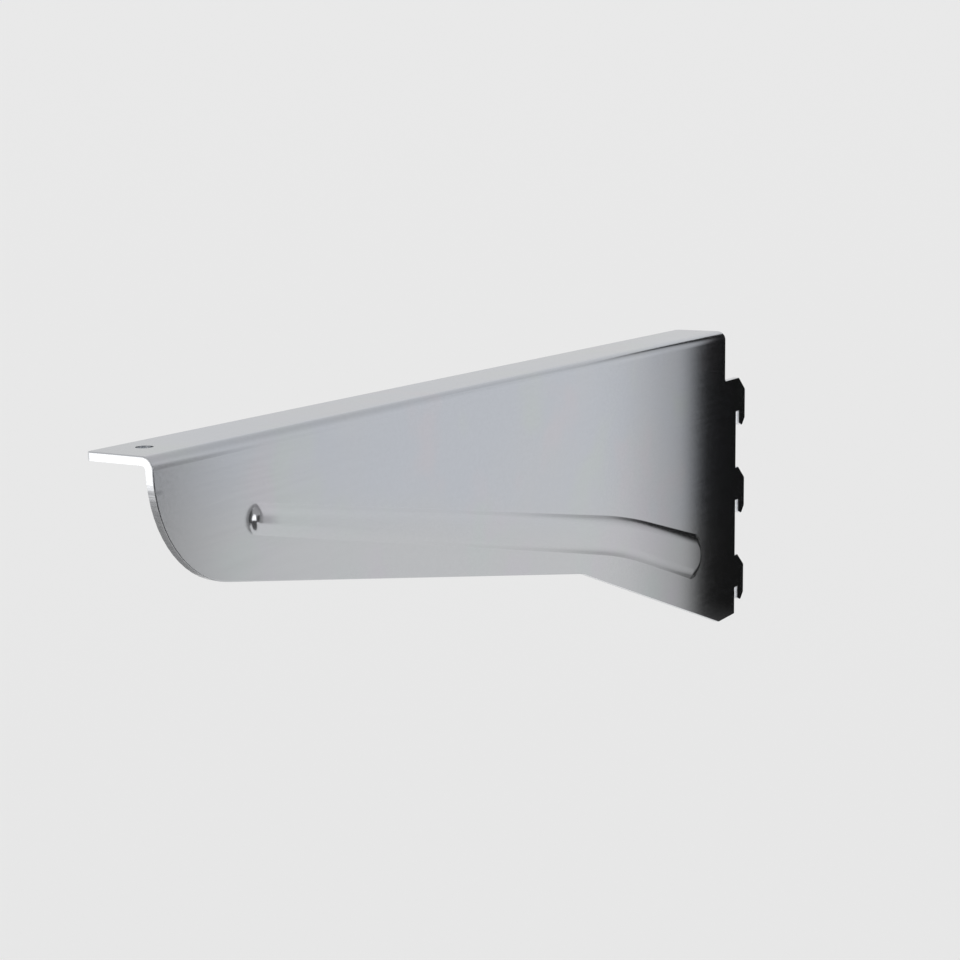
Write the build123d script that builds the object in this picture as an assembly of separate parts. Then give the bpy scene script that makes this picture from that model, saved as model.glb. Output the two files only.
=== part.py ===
from build123d import *
import math
import os

os.makedirs("parts", exist_ok=True)

# A shelf bracket for a slotted wall upright, folded from one zinc-plated steel blank.
# X is across the bracket, with the flange on the -X side of the web.
# Y runs into the wall, and Y = 0 is the face of the upright.
# Z is up, and Z = 0 is the underside of the top hook's neck, which sits on the slot's lower end.
# All sizes are in millimetres. A depth is measured down from the shelf face.

# Sheet and fold
sheet = 2.0
fold_inside_radius = 1.0

# Web outline, seen from the side
reach = 312.0
front_depth = 27.3
knee_from_upright = 116.5
knee_depth = 64.8
knee_radius = 14.0
foot_length = 13.8
foot_depth = 103.0
foot_radius = 3.0

# Above the top hook the web and the flange stop short of the upright
setback = 9.8
setback_inner_radius = 1.2

# Flange that carries the shelf
flange_width = 18.6
flange_front_corner_radius = 1.0
flange_rear_corner_radius = 1.8
screw_hole_diameter = 4.0
screw_hole_from_front = 10.4
screw_hole_from_edge = 7.5

# Hooks, one for each slot of the upright
hook_count = 3
slot_pitch = 32.0
top_hook_depth = 29.4
hook_neck_height = 11.9
hook_length = 8.0
hook_throat = 2.5
hook_claw_drop = 5.5
hook_lead_in = 2.5
hook_top_slope = 4.5
hook_corner_radius = 0.8

# Stiffening bead pressed out of the web, which widens towards the upright
# Its middle line is placed by its height above the web's lower edge
bead_height = 1.7
bead_wall_angle = 50.0
bead_front_from_tip = 35.2
bead_front_above_edge = 14.4
bead_front_radius = 3.7
bead_knee_from_upright = 88.9
bead_knee_above_edge = 17.0
bead_knee_radius = 6.4
bead_rear_from_upright = 37.1
bead_rear_above_edge = 19.6
bead_rear_radius = 7.7
bead_turn_radius = 300.0
bead_foot_radius = 0.4
bead_crest_radius = 4.2

# Sheared edge, rolled over a little by the die
edge_roll_radius = 0.3

# Sizes that follow from those above
half_sheet = sheet / 2
fold_outside_radius = fold_inside_radius + sheet
bead_foot_hollow_radius = bead_foot_radius + sheet
bead_crest_hollow_radius = bead_crest_radius - sheet
shelf_z = top_hook_depth
web_outer_plane = Plane(origin=(half_sheet, 0, 0), x_dir=(0, 1, 0), z_dir=(1, 0, 0))
web_inner_plane = Plane(origin=(-half_sheet, 0, 0), x_dir=(0, 1, 0), z_dir=(1, 0, 0))


def side_point(from_upright, depth):
    """A point of the side view: distance in front of the upright, and depth below the shelf face."""
    return Vector(-from_upright, shelf_z - depth)


# Corners of the web's lower edge, before they are rounded
front_corner = side_point(reach, front_depth)
knee_corner = side_point(knee_from_upright, knee_depth)
foot_corner = side_point(foot_length, foot_depth)


def above_lower_edge(start, end, from_upright, rise):
    """A point at a height above the straight lower edge that runs between two corners."""
    share = (-from_upright - start.X) / (end.X - start.X)
    on_edge = start + (end - start) * share
    return on_edge + Vector(0, rise)


def hook_outline(seat_z):
    """One hook: a neck through the slot, and a claw that drops behind the slot's lower end."""
    neck_top = seat_z + hook_neck_height
    claw_tip = seat_z - hook_claw_drop
    return Polyline(
        (-sheet, neck_top),
        (hook_throat, neck_top),
        (hook_length, neck_top - hook_top_slope),
        (hook_length, claw_tip + hook_lead_in),
        (hook_length - hook_lead_in, claw_tip),
        (hook_throat, claw_tip + hook_lead_in / 2),
        (hook_throat, seat_z),
        (-sheet, seat_z),
        close=True,
    )


def hook_face(seat_z):
    """A hook's flat outline, with the corners of its claw rounded."""
    with BuildSketch(mode=Mode.PRIVATE) as hook:
        with BuildLine():
            hook_outline(seat_z)
        make_face()
        throat_and_root = hook_throat + sheet / 2
        claw_corners = hook.vertices().filter_by(lambda corner: corner.X > throat_and_root)
        fillet(claw_corners, hook_corner_radius)
    return hook.sketch


def web_face():
    """The flat blank of the web with its hooks, as drawn from the side."""
    front_top = side_point(reach, fold_outside_radius)
    foot_rear = side_point(0, foot_depth)
    neck_top_depth = top_hook_depth - hook_neck_height
    setback_rear = side_point(0, neck_top_depth)
    setback_inner = side_point(setback, neck_top_depth)
    setback_top = side_point(setback, fold_outside_radius)

    # the nose is one arc, from the fold down to the lower edge, tangent to both
    along_lower_edge = (knee_corner - front_corner).normalized()
    nose_end = front_corner + along_lower_edge * (front_depth - fold_outside_radius)

    with BuildSketch() as face:
        with BuildLine():
            TangentArc(front_top, nose_end, tangent=(0, -1))
            Polyline(
                nose_end, knee_corner, foot_corner, foot_rear,
                setback_rear, setback_inner, setback_top, front_top,
            )
        make_face()
        fillet(face.vertices().sort_by_distance(knee_corner)[0], knee_radius)
        fillet(face.vertices().sort_by_distance(foot_corner)[0], foot_radius)
        fillet(face.vertices().sort_by_distance(setback_inner)[0], setback_inner_radius)
        for number in range(hook_count):
            add(hook_face(-number * slot_pitch))
    return face.sketch


def flange_solid():
    """The flange and its fold: one section, cut square at both ends, with a screw hole near the front."""
    fold_centre_x = half_sheet - fold_outside_radius
    fold_centre_z = shelf_z - fold_outside_radius
    outer_x = half_sheet - flange_width
    section_plane = Plane(origin=(0, -setback, 0), x_dir=(1, 0, 0), z_dir=(0, -1, 0))
    with BuildPart() as flange:
        with BuildSketch(section_plane):
            with BuildLine():
                Line((outer_x, shelf_z), (fold_centre_x, shelf_z))
                CenterArc((fold_centre_x, fold_centre_z), fold_outside_radius, 90, -90)
                Line((half_sheet, fold_centre_z), (-half_sheet, fold_centre_z))
                CenterArc((fold_centre_x, fold_centre_z), fold_inside_radius, 0, 90)
                Line((fold_centre_x, shelf_z - sheet), (outer_x, shelf_z - sheet))
                Line((outer_x, shelf_z - sheet), (outer_x, shelf_z))
            make_face()
        extrude(amount=reach - setback)
        front_corner_place = (outer_x, -reach, shelf_z)
        rear_corner_place = (outer_x, -setback, shelf_z)
        corners = flange.edges().filter_by(Axis.Z)
        fillet(corners.sort_by_distance(front_corner_place)[0], flange_front_corner_radius)
        corners = flange.edges().filter_by(Axis.Z)
        fillet(corners.sort_by_distance(rear_corner_place)[0], flange_rear_corner_radius)
        with Locations((outer_x + screw_hole_from_edge, -reach + screw_hole_from_front, shelf_z)):
            Hole(screw_hole_diameter / 2, depth=sheet)
    return flange.part


def taper_sides(start, start_radius, end, end_radius):
    """The two straight sides that touch both circles of a taper, the upper one first."""
    along = end - start
    lean = math.degrees(math.asin((end_radius - start_radius) / along.length))
    sides = []
    for turn in (90 + lean, -90 - lean):
        outward = along.normalized().rotate(Axis.Z, turn)
        sides.append((start + outward * start_radius, end + outward * end_radius))
    return sides


def crossing(first_side, second_side):
    """The point where two straight sides would meet."""
    first_axis = Axis(first_side[0], first_side[1] - first_side[0])
    second_axis = Axis(second_side[0], second_side[1] - second_side[0])
    return first_axis.intersect(second_axis)


def bead_footprint():
    """The bead's outline where it leaves the web: two tapers that turn gently into each other."""
    bead_front_from_upright = reach - bead_front_from_tip
    front = above_lower_edge(front_corner, knee_corner, bead_front_from_upright, bead_front_above_edge)
    knee = above_lower_edge(knee_corner, foot_corner, bead_knee_from_upright, bead_knee_above_edge)
    rear = above_lower_edge(knee_corner, foot_corner, bead_rear_from_upright, bead_rear_above_edge)
    front_sides = taper_sides(front, bead_front_radius, knee, bead_knee_radius)
    rear_sides = taper_sides(knee, bead_knee_radius, rear, bead_rear_radius)
    upper_knee = crossing(front_sides[0], rear_sides[0])
    lower_knee = crossing(front_sides[1], rear_sides[1])
    front_end = front - (knee - front).normalized() * bead_front_radius
    rear_end = rear + (rear - knee).normalized() * bead_rear_radius
    with BuildSketch() as face:
        with BuildLine():
            ThreePointArc(front_sides[1][0], front_end, front_sides[0][0])
            Polyline(front_sides[0][0], upper_knee, rear_sides[0][1])
            ThreePointArc(rear_sides[0][1], rear_end, rear_sides[1][1])
            Polyline(rear_sides[1][1], lower_knee, front_sides[1][0])
        make_face()
        for corner in (upper_knee, lower_knee):
            fillet(face.vertices().sort_by_distance(corner)[0], bead_turn_radius)
    return face.sketch


def bead_form(outline, crest_radius):
    """A solid with the bead's sloping walls and a softened crest."""
    form = extrude(outline, amount=bead_height, taper=90 - bead_wall_angle)
    crest = form.faces().sort_by(Axis.X)[-1]
    return fillet(crest.edges(), crest_radius)


def rim_edges(solid, outline):
    """The solid's edges that lie along an outline."""
    return [solid.edges().sort_by_distance(side @ 0.5)[0] for side in outline.edges()]


def press_bead(blank):
    """Raises the bead on the outer side and hollows it behind, with the sheet's thickness all over."""
    # at a bend of the wall, the hollow side lies this far inside the raised side
    hollow_inset = sheet * math.tan(math.radians(bead_wall_angle / 2))
    raised_outline = web_outer_plane * bead_footprint()
    hollow_outline = web_inner_plane * offset(bead_footprint(), amount=-hollow_inset)
    raised = bead_form(raised_outline, bead_crest_radius)
    hollow = bead_form(hollow_outline, bead_crest_hollow_radius)
    pressed = blank + raised - hollow
    pressed = fillet(rim_edges(pressed, raised_outline), bead_foot_radius)
    return fillet(rim_edges(pressed, hollow_outline), bead_foot_hollow_radius)


def roll_edges(solid):
    """Rounds the edge that the die rolls over: round the web and its hooks, and round the flange."""
    web_middle = (half_sheet, -reach / 2, shelf_z - front_depth / 2)
    flange_middle = (half_sheet - flange_width / 2, -reach / 2, shelf_z)
    web_side = solid.faces().sort_by_distance(web_middle)[0]
    flange_side = solid.faces().sort_by_distance(flange_middle)[0]

    # the last edge of each is the line where it meets the fold, which stays as it is
    web_edges = web_side.outer_wire().edges().sort_by(Axis.Z)[:-1]
    flange_edges = flange_side.outer_wire().edges().sort_by(Axis.X)[:-1]
    return fillet(web_edges + flange_edges, edge_roll_radius)


web = extrude(web_inner_plane * web_face(), amount=sheet)
folded_blank = web + flange_solid()
bracket = roll_edges(press_bead(folded_blank))
bracket.label = "bracket"
export_step(bracket, "parts/bracket.step")
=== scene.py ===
import math
import bmesh
import bpy
from mathutils import Matrix, Quaternion, Vector
from mathutils.geometry import tessellate_polygon


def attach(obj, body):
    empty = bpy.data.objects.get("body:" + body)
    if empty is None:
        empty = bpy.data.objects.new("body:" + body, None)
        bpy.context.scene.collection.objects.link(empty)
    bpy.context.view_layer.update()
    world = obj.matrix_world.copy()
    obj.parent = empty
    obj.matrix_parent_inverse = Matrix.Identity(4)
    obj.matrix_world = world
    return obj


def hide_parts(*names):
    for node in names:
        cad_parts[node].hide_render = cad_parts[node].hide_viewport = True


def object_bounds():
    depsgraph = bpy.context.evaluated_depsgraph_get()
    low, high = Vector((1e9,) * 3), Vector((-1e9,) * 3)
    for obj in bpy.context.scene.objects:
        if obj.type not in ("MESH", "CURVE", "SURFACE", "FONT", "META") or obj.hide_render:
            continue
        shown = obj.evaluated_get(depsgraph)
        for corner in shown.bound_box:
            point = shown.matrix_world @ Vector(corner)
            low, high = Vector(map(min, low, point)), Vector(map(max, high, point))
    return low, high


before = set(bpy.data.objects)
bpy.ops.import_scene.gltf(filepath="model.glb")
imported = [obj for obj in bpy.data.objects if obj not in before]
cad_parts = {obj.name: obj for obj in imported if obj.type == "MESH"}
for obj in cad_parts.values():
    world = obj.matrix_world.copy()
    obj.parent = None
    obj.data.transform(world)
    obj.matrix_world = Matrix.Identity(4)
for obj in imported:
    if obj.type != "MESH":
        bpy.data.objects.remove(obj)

cad_low, cad_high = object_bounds()
collection = bpy.context.scene.collection

# The bracket
# One blank of 2 mm steel sheet, sheared to its outline, pressed with a stiffening bead and folded once.
# The solid's edges, fold, flange and hooks are kept. The web's two faces are laid again as a fine mesh, with
# a bead that is a little lower and gentler than the solid's, and whose front end climbs slowly.
sheet = 0.002
half_sheet = sheet / 2
fold_end_z = 0.0264
nearly = 0.000001

# the bead's middle line as seen from the side (distance along, height), and its half widths
bead_front = Vector((-0.2768, 0.0100))
bead_knee = Vector((-0.0889, -0.0287))
bead_rear = Vector((-0.0371, -0.0453))
front_half_width = 0.0037
knee_half_width = 0.0064
rear_half_width = 0.0077
turn_radius = 0.300

# the bead's section: a small radius at its foot, a sloping wall and a soft crest
bead_height = 0.00125
wall_angle = math.radians(31)
foot_radius = 0.0004
crest_radius = 0.0054

# at a bend of the wall, the hollow side lies this far inside the raised side
wall_inset = sheet * math.tan(wall_angle / 2)

# the climb of its front end: its start lies just before the front centre, and the rest is measured from there
climb_start = -0.0053
steep_middle = 0.0033
steep_length = 0.0013
slow_length = 0.0130
steep_share = 0.8
contour_radius = 0.0040

# the fine mesh: its spacing along the bead, its rows across it, the flat margin round it, and the step
# over which its slopes are measured
first_station = -0.0065
front_spacing = 0.0003
front_stations = 68
middle_spacing = 0.0018
rear_spacing = 0.00026
rear_stretch = 0.006
raised_rows = 96
hollow_rows = 64
margin = 0.0008
slope_step = 0.00002

front_heading = (bead_knee - bead_front).normalized()
rear_heading = (bead_rear - bead_knee).normalized()
whole_turn = front_heading.angle(rear_heading)
turn_reach = turn_radius * math.tan(whole_turn / 2)
turn_start = (bead_knee - bead_front).length - turn_reach
turn_end = turn_start + turn_radius * whole_turn
bead_length = turn_end + (bead_rear - bead_knee).length - turn_reach


def on_middle_line(distance):
    """The place and the heading on the bead's middle line, at a distance from its front centre."""
    if distance <= turn_start:
        return bead_front + front_heading * distance, front_heading
    if distance >= turn_end:
        return bead_rear + rear_heading * (distance - bead_length), rear_heading
    turned = (distance - turn_start) / turn_radius
    heading = Matrix.Rotation(-turned, 2) @ front_heading
    inward = Vector((front_heading.y, -front_heading.x))
    start = bead_front + front_heading * turn_start
    place = start + (front_heading * math.sin(turned) + inward * (1 - math.cos(turned))) * turn_radius
    return place, heading


def half_width(distance):
    """The bead's half width at its foot."""
    knee = (turn_start + turn_end) / 2
    if distance < knee:
        share = max(0.0, distance / knee)
        return front_half_width + (knee_half_width - front_half_width) * share
    share = min(1.0, (distance - knee) / (bead_length - knee))
    return knee_half_width + (rear_half_width - knee_half_width) * share


def wall_profile(inside, foot, crest):
    """The wall's height at a distance inside the bead's foot. Foot and crest are the radii of its bends."""
    foot_reach = foot * math.tan(wall_angle / 2)
    crest_end = bead_height / math.tan(wall_angle) + crest * math.tan(wall_angle / 2)
    if inside <= -foot_reach:
        return 0.0
    if inside <= foot * math.sin(wall_angle) - foot_reach:
        return foot - math.sqrt(foot ** 2 - (inside + foot_reach) ** 2)
    if inside < crest_end - crest * math.sin(wall_angle):
        return inside * math.tan(wall_angle)
    if inside < crest_end:
        return bead_height - crest + math.sqrt(crest ** 2 - (crest_end - inside) ** 2)
    return bead_height


def front_climb(distance, sideways):
    """The share of its height that the bead has reached near its front end, where its contours are round."""
    from_tip = distance - climb_start - sideways ** 2 / (2 * contour_radius)
    steep = (1 + math.erf((from_tip - steep_middle) / steep_length)) / 2
    share = min(1.0, max(0.0, from_tip / slow_length))
    slow = share * share * (3 - 2 * share)
    return steep_share * steep + (1 - steep_share) * slow


def bead_rise(distance, sideways, inset, foot, crest):
    """How far the web's face stands out at a place on the bead."""
    if distance > bead_length:
        inside = rear_half_width - math.hypot(distance - bead_length, sideways)
    else:
        inside = half_width(distance) - abs(sideways)
    return wall_profile(inside - inset, foot, crest) * front_climb(distance, sideways)


def stations():
    """Distances along the bead: close together at its two ends, wider between them."""
    places = [first_station + front_spacing * number for number in range(front_stations)]
    while places[-1] < bead_length - rear_stretch:
        places.append(places[-1] + middle_spacing)
    while places[-1] < bead_length + rear_half_width + margin:
        places.append(places[-1] + rear_spacing)
    return places


def lay_bead_points(solid, side, rows, inset, foot, crest):
    """Lays points over the bead, in columns across it, and works out the way that each of them faces."""
    def rise_at(distance, sideways):
        return bead_rise(distance, sideways, inset, foot, crest)

    grid = []
    facings = {}
    places = stations()
    for distance in places:
        middle_place, heading = on_middle_line(distance)
        up = Vector((-heading.y, heading.x))
        reach = half_width(distance) + margin
        column = []
        for row in range(rows + 1):
            sideways = reach * (2 * row / rows - 1)
            point = middle_place + up * sideways
            height_here = 0.0
            slope = Vector((0.0, 0.0))
            if 0 < row < rows and places[0] < distance < places[-1]:
                height_here = rise_at(distance, sideways)
                ahead = rise_at(distance + slope_step, sideways)
                behind = rise_at(distance - slope_step, sideways)
                higher = rise_at(distance, sideways + slope_step)
                lower = rise_at(distance, sideways - slope_step)
                slope = (heading * (ahead - behind) + up * (higher - lower)) / (2 * slope_step)
            vertex = solid.verts.new((side * half_sheet + height_here, point.x, point.y))
            facings[vertex] = Vector((side, -side * slope.x, -side * slope.y)).normalized()
            column.append(vertex)
        grid.append(column)
    return grid, facings


def web_outline(solid, side):
    """The points round the opening that the old face of the web has left, in their order."""
    neighbours = {}
    for edge in solid.edges:
        in_face = all(abs(end.co.x - side * half_sheet) < nearly for end in edge.verts)
        if in_face and len(edge.link_faces) == 1:
            for end in edge.verts:
                neighbours.setdefault(end, []).append(edge.other_vert(end))
    outline = []
    seen = set()
    walked = next(iter(neighbours))
    while walked is not None:
        outline.append(walked)
        seen.add(walked)
        walked = next((end for end in neighbours[walked] if end not in seen), None)
    return outline


def lay_web_face(solid, kept, side, rows, inset, foot, crest):
    """Lays one face of the web again: a fine grid over the bead, and flat metal from there to the edges."""
    grid, facings = lay_bead_points(solid, side, rows, inset, foot, crest)
    outline = web_outline(solid, side)
    border = grid[0][:-1] + [column[-1] for column in grid[:-1]]
    border += grid[-1][:0:-1] + [column[0] for column in reversed(grid[1:])]
    flat = outline + border
    loops = [[Vector((vertex.co.y, vertex.co.z, 0)) for vertex in loop] for loop in (outline, border)]
    plain = Vector((side, 0, 0))

    def add_face(vertices, smooth):
        first, second, third = (vertex.co for vertex in vertices[:3])
        if (second - first).cross(third - first).x * side < 0:
            vertices = vertices[::-1]
        face = solid.faces.new(vertices)
        for corner in face.loops:
            corner[kept] = facings[corner.vert] if smooth else plain

    for triangle in tessellate_polygon(loops):
        add_face([flat[index] for index in triangle], False)
    for left, right in zip(grid, grid[1:]):
        for row in range(rows):
            add_face([left[row], right[row], right[row + 1], left[row + 1]], True)


# the solid's own mesh, with the way that each corner of its faces looks
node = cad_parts["bracket"]
solid = bmesh.new()
solid.from_mesh(node.data)
kept = solid.loops.layers.float_vector.new("kept_facing")
for face, polygon in zip(solid.faces, node.data.polygons):
    for corner, index in zip(face.loops, polygon.loop_indices):
        corner[kept] = node.data.corner_normals[index].vector
bmesh.ops.remove_doubles(solid, verts=solid.verts, dist=nearly)

# the old faces of the web go: the flat ones, the bead's, and the hollow's
line_spacing = 0.002
line_points = int(bead_length / line_spacing) + 1
middle_line = [on_middle_line(line_spacing * number)[0] for number in range(line_points)]
old_faces = []
for face in solid.faces:
    sides = [vertex.co.x for vertex in face.verts]
    centre = face.calc_center_median()
    on_outer_side = min(sides) > half_sheet - nearly
    on_inner_side = max(abs(side + half_sheet) for side in sides) < nearly
    if on_outer_side or on_inner_side:
        old_faces.append(face)
    elif centre.z < fold_end_z - sheet:
        point = Vector((centre.y, centre.z))
        if min((point - place).length for place in middle_line) < rear_half_width:
            old_faces.append(face)
bmesh.ops.delete(solid, geom=old_faces, context="FACES")
lay_web_face(solid, kept, 1, raised_rows, 0.0, foot_radius, crest_radius)
lay_web_face(solid, kept, -1, hollow_rows, wall_inset, foot_radius + sheet, crest_radius - sheet)

sheet_mesh = bpy.data.meshes.new("bracket_sheet")
solid.to_mesh(sheet_mesh)
facings = [tuple(item.vector) for item in sheet_mesh.attributes["kept_facing"].data]
sheet_mesh.attributes.remove(sheet_mesh.attributes["kept_facing"])
sheet_mesh.shade_smooth()
sheet_mesh.normals_split_custom_set(facings)
bracket = bpy.data.objects.new("bracket_sheet", sheet_mesh)
collection.objects.link(bracket)
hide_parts("bracket")
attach(bracket, "root")

# The finish of the bracket
# Zinc plate: a soft grey metal with faint clouds of blue, green and violet in it.
# The cut edges are rougher, and the die has left fine marks across them. Their paler colour is partly the
# sheared steel and partly a painted highlight.
zinc = bpy.data.materials.new("zinc_plate")
zinc.use_nodes = True
nodes = zinc.node_tree.nodes
links = zinc.node_tree.links
shader = nodes["Principled BSDF"]
shader.inputs["Metallic"].default_value = 1.0
bracket.data.materials.clear()
bracket.data.materials.append(zinc)


def wire(socket, value):
    """Gives a socket a value of its own, or links it to another node's output."""
    if isinstance(value, bpy.types.NodeSocket):
        links.new(value, socket)
    else:
        socket.default_value = value


def maths(operation, first, second=0.0):
    """One sum on one or two numbers."""
    node = nodes.new("ShaderNodeMath")
    node.operation = operation
    wire(node.inputs[0], first)
    wire(node.inputs[1], second)
    return node.outputs[0]


def rise(value, low, high, least=0.0, most=1.0):
    """Goes smoothly from one result to another while a value goes from low to high."""
    node = nodes.new("ShaderNodeMapRange")
    node.interpolation_type = "SMOOTHSTEP"
    wire(node.inputs["Value"], value)
    node.inputs["From Min"].default_value = low
    node.inputs["From Max"].default_value = high
    node.inputs["To Min"].default_value = least
    node.inputs["To Max"].default_value = most
    return node.outputs["Result"]


def near(value, aim, close, far):
    """One where a value lies close to an aim, and nothing where it lies far from it."""
    return rise(maths("ABSOLUTE", maths("SUBTRACT", value, aim)), close, far, 1.0, 0.0)


def clouds(size, layers, spread=(1, 1, 1), start=(0, 0, 0)):
    """Noise of a size in metres, from 0 to 1. It can be drawn out along an axis."""
    mapping = nodes.new("ShaderNodeMapping")
    mapping.inputs["Location"].default_value = start
    mapping.inputs["Scale"].default_value = spread
    wire(mapping.inputs["Vector"], spot)
    noise = nodes.new("ShaderNodeTexNoise")
    wire(noise.inputs["Vector"], mapping.outputs["Vector"])
    noise.inputs["Scale"].default_value = 1 / size
    noise.inputs["Detail"].default_value = layers
    return noise.outputs["Fac"]


def mix(share, first, second):
    """A mix of two colours."""
    node = nodes.new("ShaderNodeMix")
    node.data_type = "RGBA"
    wire(node.inputs["Factor"], share)
    wire(node.inputs["A"], first)
    wire(node.inputs["B"], second)
    return node.outputs["Result"]


def parts_of(vector):
    """The three numbers of a vector."""
    node = nodes.new("ShaderNodeSeparateXYZ")
    wire(node.inputs[0], vector)
    return node.outputs


spot = nodes.new("ShaderNodeTexCoord").outputs["Object"]
facing = nodes.new("ShaderNodeTexCoord").outputs["Normal"]
across, along, height = parts_of(spot)
facing_across, facing_along, facing_up = parts_of(facing)

# plating: cooler above the bead, a plainer grey below it, with large faint clouds and a fine grain
plain_zinc = (0.612, 0.621, 0.634, 1)
blue_zinc = (0.582, 0.609, 0.662, 1)
green_zinc = (0.592, 0.630, 0.634, 1)
violet_zinc = (0.618, 0.606, 0.648, 1)
black = (0, 0, 0, 1)
bead_slope = 0.2
bead_line_rise = 0.046
above_bead = maths("ADD", maths("ADD", height, bead_line_rise), maths("MULTIPLY", along, bead_slope))
blue_place = rise(above_bead, -0.006, 0.012, 0.15, 0.95)
blue_cloud = rise(clouds(0.055, 2), 0.30, 0.60, 0.45, 1.0)
green_cloud = rise(clouds(0.030, 2, start=(0.3, 0.1, 0.7)), 0.52, 0.70, 0.0, 0.75)
violet_cloud = rise(clouds(0.024, 2, start=(0.9, 0.4, 0.2)), 0.54, 0.72, 0.0, 0.70)
colour = mix(maths("MULTIPLY", blue_place, blue_cloud), plain_zinc, blue_zinc)
colour = mix(green_cloud, colour, green_zinc)
colour = mix(violet_cloud, colour, violet_zinc)
grain = clouds(0.0007, 2)
rolled = clouds(0.0011, 1, spread=(1, 0.04, 1))
dull = rise(grain, 0.30, 0.70, 0.965, 1.0)
colour = mix(maths("SUBTRACT", 1.0, dull), colour, black)

# cut edges: the sheared thickness of the sheet, with fine marks of the tool across it; their paler colour is
# partly sheared steel, partly painted highlight
edge_grey_and_highlight = (0.74, 0.75, 0.77, 1)
edge_pale_and_highlight = (0.84, 0.85, 0.87, 1)
shelf_z = 0.0294
slack = 0.00003
half_way = 0.5
off_face = maths("LESS_THAN", maths("ABSOLUTE", facing_across), half_way)
in_web = maths("LESS_THAN", maths("ABSOLUTE", across), half_sheet + slack)
below_fold = maths("LESS_THAN", height, fold_end_z)
on_an_end = maths("GREATER_THAN", maths("ABSOLUTE", facing_along), half_way)
web_edge = maths("MULTIPLY", maths("MULTIPLY", off_face, in_web), maths("MAXIMUM", below_fold, on_an_end))
in_flange = maths("GREATER_THAN", height, shelf_z - sheet - slack)
off_top = maths("LESS_THAN", maths("ABSOLUTE", facing_up), half_way)
off_web = maths("LESS_THAN", facing_across, half_way)
flange_edge = maths("MULTIPLY", maths("MULTIPLY", in_flange, off_top), off_web)
cut_edge = maths("MAXIMUM", web_edge, flange_edge)
tool_marks = clouds(0.0006, 1, spread=(0.08, 1, 1))
# the pale edge colour is partly a painted highlight
colour = mix(cut_edge, colour, mix(rise(tool_marks, 0.35, 0.65), edge_grey_and_highlight, edge_pale_and_highlight))

# painted shade: a small dark patch on the web close behind the nose, below the fold
shade_patch_y = -0.3106
shade_patch_z = 0.0215
painted_shade_grey = (0.12, 0.12, 0.13, 1)
painted_shade_patch = maths("MULTIPLY", near(along, shade_patch_y, 0.0004, 0.0026), near(height, shade_patch_z, 0.0001, 0.0009))
colour = mix(maths("MULTIPLY", painted_shade_patch, 0.35), colour, painted_shade_grey)
wire(shader.inputs["Base Color"], colour)

# roughness: the grain, the long marks of rolling, the cut edges and the patch of painted shade
edge_roughness = 0.12
shade_patch_roughness = 0.20
roughness = maths("ADD", rise(grain, 0.30, 0.70, 0.14, 0.17), rise(rolled, 0.35, 0.65, 0.0, 0.015))
roughness = maths("ADD", roughness, maths("MULTIPLY", cut_edge, edge_roughness))
roughness = maths("ADD", roughness, maths("MULTIPLY", painted_shade_patch, shade_patch_roughness))
wire(shader.inputs["Roughness"], roughness)

# the sheet isn't quite flat, and the cut edges are scored
wave_height = 0.00005
score_depth = 0.00003
wave_bump = nodes.new("ShaderNodeBump")
wave_bump.inputs["Distance"].default_value = wave_height
wave_bump.inputs["Strength"].default_value = 1.0
wire(wave_bump.inputs["Height"], clouds(0.035, 1, start=(0.5, 0.2, 0.9)))
edge_bump = nodes.new("ShaderNodeBump")
edge_bump.inputs["Distance"].default_value = score_depth
wire(edge_bump.inputs["Strength"], cut_edge)
wire(edge_bump.inputs["Height"], tool_marks)
wire(edge_bump.inputs["Normal"], wave_bump.outputs["Normal"])
wire(shader.inputs["Normal"], edge_bump.outputs["Normal"])

# The floor
# A round studio backdrop of matt plaster that glows with painted light: a level floor that sweeps up into a
# wall all round.
# The glow is brightest low down and a little dimmer higher up, so the wall is palest low down and a little
# greyer higher up.
floor_drop = 0.30
floor_radius = 1.6
sweep_radius = 1.0
wall_radius = floor_radius + sweep_radius
wall_top = 3.6
centre_radius = 0.02
steps_round = 96
steps_up = 16
floor_z = cad_low.z - floor_drop
middle = (cad_low + cad_high) / 2
profile = [(centre_radius, floor_z), (floor_radius / 2, floor_z)]
for step in range(steps_up + 1):
    turn = math.radians(90) * step / steps_up
    level = floor_z + sweep_radius * (1 - math.cos(turn))
    profile.append((floor_radius + sweep_radius * math.sin(turn), level))
profile.append((wall_radius, wall_top / 2))
profile.append((wall_radius, wall_top))
corners = []
faces = []
for number in range(steps_round):
    angle = 2 * math.pi * number / steps_round
    for radius, level in profile:
        corners.append((middle.x + radius * math.cos(angle), middle.y + radius * math.sin(angle), level))
rows = len(profile)
for number in range(steps_round):
    here = number * rows
    there = (number + 1) % steps_round * rows
    for row in range(rows - 1):
        faces.append((here + row, here + row + 1, there + row + 1, there + row))
faces.append([number * rows for number in range(steps_round)])
floor_mesh = bpy.data.meshes.new("floor")
floor_mesh.from_pydata(corners, [], faces)
floor_mesh.shade_smooth()
floor = bpy.data.objects.new("floor", floor_mesh)
collection.objects.link(floor)
plaster = bpy.data.materials.new("glowing_plaster")
plaster.use_nodes = True
nodes = plaster.node_tree.nodes
links = plaster.node_tree.links
plaster_shader = nodes["Principled BSDF"]
plaster_shader.inputs["Base Color"].default_value = (0.30, 0.30, 0.30, 1)
plaster_shader.inputs["Roughness"].default_value = 1.0
plaster_shader.inputs["Specular IOR Level"].default_value = 0.0
plaster_shader.inputs["Emission Color"].default_value = (1, 1, 1, 1)
level = parts_of(nodes.new("ShaderNodeTexCoord").outputs["Object"])["Z"]
# the backdrop's glow is painted light, stronger low down and weaker higher up
wire(plaster_shader.inputs["Emission Strength"], rise(level, 0.35, 2.4, 0.60, 0.42))
plaster.cycles.emission_sampling = "NONE"
floor.data.materials.append(plaster)


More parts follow.
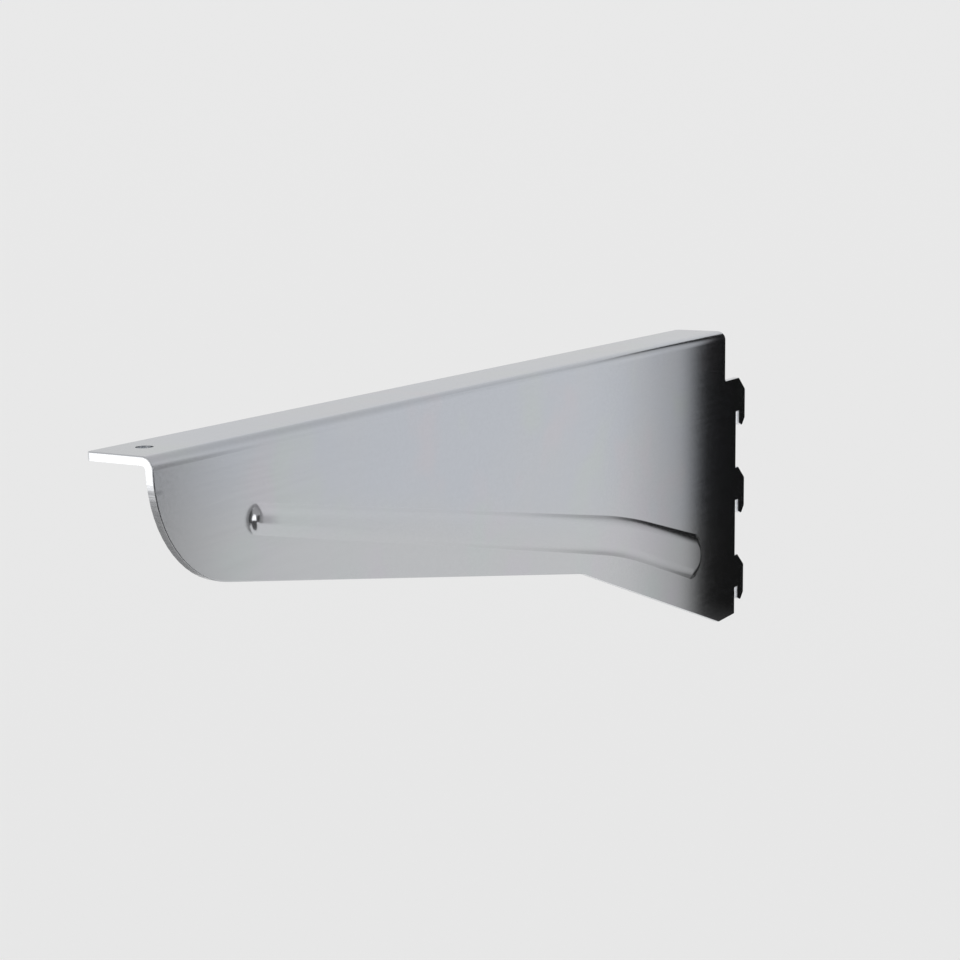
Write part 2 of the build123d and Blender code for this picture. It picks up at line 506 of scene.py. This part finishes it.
# Light
# A pale sky over the backdrop, two soft lamps, and cards round the bracket that give the bright metal
# something to reflect. The cards don't show, only their reflection does.
def studio_card(name, centre, aim, width, height, brightness, lean=0.0):
    """A flat card that faces a point, and can lean to its left. It is seen only as a reflection."""
    right = width / 2
    top = height / 2
    outline = [(-right, -top, 0), (right, -top, 0), (right, top, 0), (-right, top, 0)]
    mesh = bpy.data.meshes.new(name)
    mesh.from_pydata(outline, [], [(0, 1, 2, 3)])
    card = bpy.data.objects.new(name, mesh)
    collection.objects.link(card)
    card.location = centre
    turned = (aim - centre).to_track_quat("Z", "Y")
    card.rotation_euler = (turned @ Quaternion((0, 0, 1), math.radians(lean))).to_euler()
    paint = bpy.data.materials.new(name)
    paint.use_nodes = True
    paint_shader = paint.node_tree.nodes["Principled BSDF"]
    paint_shader.inputs["Base Color"].default_value = (0.0, 0.0, 0.0, 1)
    paint_shader.inputs["Roughness"].default_value = 1.0
    paint_shader.inputs["Specular IOR Level"].default_value = 0.0
    paint_shader.inputs["Emission Color"].default_value = (1, 1, 1, 1)
    paint_shader.inputs["Emission Strength"].default_value = brightness
    paint.cycles.emission_sampling = "NONE"
    mesh.materials.append(paint)
    card.visible_camera = False
    card.visible_diffuse = False
    card.visible_shadow = False
    return card


def toward(azimuth, elevation, distance, start):
    """A place at a distance from a start. Azimuth runs from +Y towards +X."""
    flat = math.cos(math.radians(elevation)) * distance
    return start + Vector((
        flat * math.sin(math.radians(azimuth)),
        flat * math.cos(math.radians(azimuth)),
        math.sin(math.radians(elevation)) * distance,
    ))


bead_end = Vector((0.002, -0.277, 0.009))

# close behind the rear edge: black by the web, and paler with the distance from it
rear_card_left = 0.0015
rear_card_right = 0.0615
rear_card_y = 0.010
rear_card_width = rear_card_right - rear_card_left
rear_card_height = 0.36
rear_card_place = Vector(((rear_card_left + rear_card_right) / 2, rear_card_y, middle.z))
rear_card_aim = rear_card_place - Vector((0, 1, 0))
rear_card = studio_card("rear_card", rear_card_place, rear_card_aim, rear_card_width, rear_card_height, 1.0)
nodes = rear_card.active_material.node_tree.nodes
links = rear_card.active_material.node_tree.links
on_card = parts_of(nodes.new("ShaderNodeTexCoord").outputs["Object"])
from_web = maths("ADD", on_card["X"], rear_card_place.x)

# beside the bracket's top the black strip is narrower, and well above and below the bracket there is none
shade_edge = maths("ADD", from_web, rise(on_card["Y"], 0.040, 0.062, 0.0, 0.008))
near_shade = rise(shade_edge, 0.0175, 0.029, 0.010, 0.52)
far_shade = rise(shade_edge, 0.027, 0.058, 0.0, 0.26)
pale_top = rise(on_card["Y"], 0.083, 0.115, 0.0, 0.66)
pale_foot = rise(on_card["Y"], -0.125, -0.045, 0.70, 0.0)
brightness = maths("MAXIMUM", maths("ADD", near_shade, far_shade), maths("MAXIMUM", pale_top, pale_foot))
wire(nodes["Principled BSDF"].inputs["Emission Strength"], brightness)

# beside the front end: a grey card, a nearly black one, and a paler one above it
studio_card("side_card", toward(47.5, 0, 1.0, bead_end), bead_end, 0.25, 1.3, brightness=0.30, lean=3)
studio_card("front_card", toward(86, -12, 1.2, bead_end), bead_end, 1.5, 0.85, brightness=0.08)
studio_card("upper_card", toward(100, 26, 1.4, bead_end), bead_end, 2.6, 0.9, brightness=0.42)

# just above the floor: a nearly black mat to the right of the front end, and a grey one to its left
mat_lift = 0.006
mat_z = floor_z + mat_lift
above = Vector((0, 0, 1))
right_mat = Vector((0.64, -0.70, mat_z))
left_mat = Vector((-0.42, -0.40, mat_z))
studio_card("right_mat", right_mat, right_mat + above, 1.16, 1.30, brightness=0.08)
studio_card("left_mat", left_mat, left_mat + above, 0.68, 1.00, brightness=0.25)

# behind the bracket: the pale card that the flange's top reflects
studio_card("back_card", toward(-35, 8, 1.2, middle), middle, 0.8, 0.36, brightness=0.71)

world = bpy.data.worlds.new("studio")
bpy.context.scene.world = world
world.use_nodes = True
sky = world.node_tree.nodes["Background"]
sky.inputs["Color"].default_value = (1.0, 1.0, 1.0, 1)
sky.inputs["Strength"].default_value = 0.55


def soft_lamp(name, place, aim, width, height, power):
    """A rectangular lamp that faces a point."""
    data = bpy.data.lights.new(name, "AREA")
    data.shape = "RECTANGLE"
    data.size = width
    data.size_y = height
    data.energy = power
    lamp = bpy.data.objects.new(name, data)
    collection.objects.link(lamp)
    lamp.location = place
    lamp.rotation_euler = (aim - place).to_track_quat("-Z", "Y").to_euler()
    lamp.visible_camera = False


# the front lamp whitens the cut edge of the flange, and the nose lamp shows in the bead's front end
soft_lamp("front_lamp", toward(-141, -11, 1.1, bead_end), bead_end, 0.30, 0.30, power=0.42)
soft_lamp("nose_lamp", toward(85, 3, 0.9, bead_end), bead_end, 0.12, 0.36, power=0.30)

# The camera
# It stands where the photograph was taken from. Its place and its angles were fitted to the photograph,
# with the place of the part's origin given in millimetres to the right, down and ahead of it.
frame_px = 960
sensor_mm = 36.0
focal_px = 1867.07
yaw = -0.5392
pitch = 0.1728
roll = 0.0149
origin_in_camera = Vector((89.992, -24.307, 662.628)) / 1000
forward = Vector((math.sin(yaw) * math.cos(pitch), math.cos(yaw) * math.cos(pitch), -math.sin(pitch)))
level_right = Vector((math.cos(yaw), -math.sin(yaw), 0.0))
level_down = forward.cross(level_right)
right = math.cos(roll) * level_right + math.sin(roll) * level_down
down = -math.sin(roll) * level_right + math.cos(roll) * level_down
place = -(right * origin_in_camera.x + down * origin_in_camera.y + forward * origin_in_camera.z)
camera_data = bpy.data.cameras.new("camera")
camera_data.sensor_width = sensor_mm
camera_data.lens = focal_px / frame_px * sensor_mm
camera = bpy.data.objects.new("camera", camera_data)
collection.objects.link(camera)
turn = Matrix((right, -down, -forward)).transposed()
camera.matrix_world = Matrix.Translation(place) @ turn.to_4x4()
bpy.context.scene.camera = camera
bpy.context.scene.view_settings.view_transform = "Standard"
